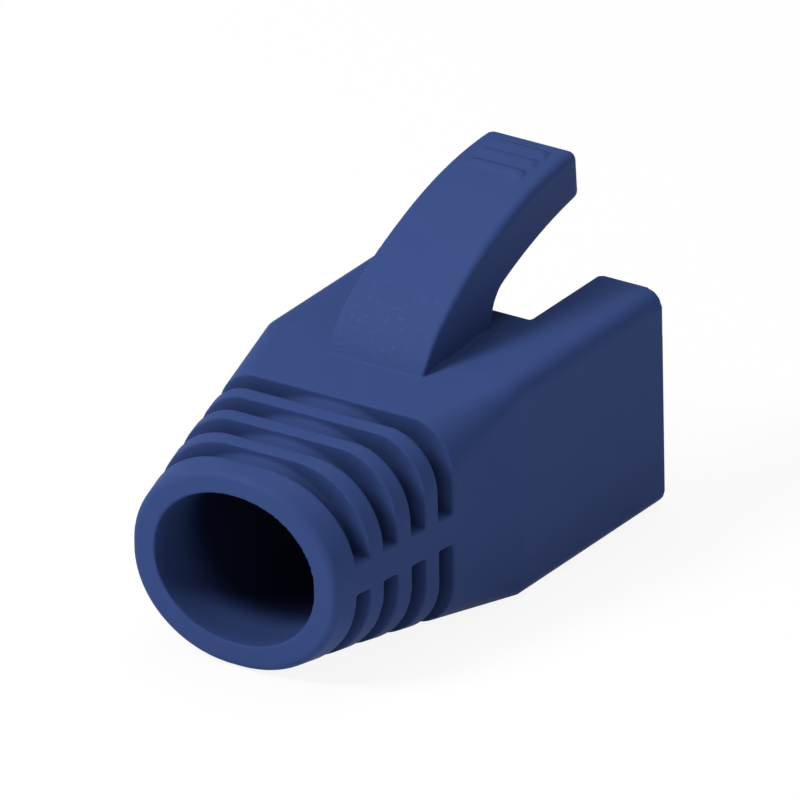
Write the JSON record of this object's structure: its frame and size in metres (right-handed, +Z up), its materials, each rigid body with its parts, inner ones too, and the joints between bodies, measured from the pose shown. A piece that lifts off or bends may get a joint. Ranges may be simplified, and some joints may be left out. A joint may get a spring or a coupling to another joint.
{
  "type": "rj45 strain relief boot",
  "caption": "Soft strain relief boot for a modular network plug: ribbed oval tail for the cable, open pocket for the plug, notched roof and a curved arm that guards the latch.",
  "frame": {"origin": "centre of the oval cable opening, on the end face of the tail", "axes": "+Y along the cable from the tail to the plug's mouth, +Z up on the side of the latch guard, +X across"},
  "size_m": [0.0142, 0.0257, 0.0172],
  "materials": {
    "boot": "matte"
  },
  "bodies": {
    "root": {"boot": "boot"}
  },
  "joints": []
}
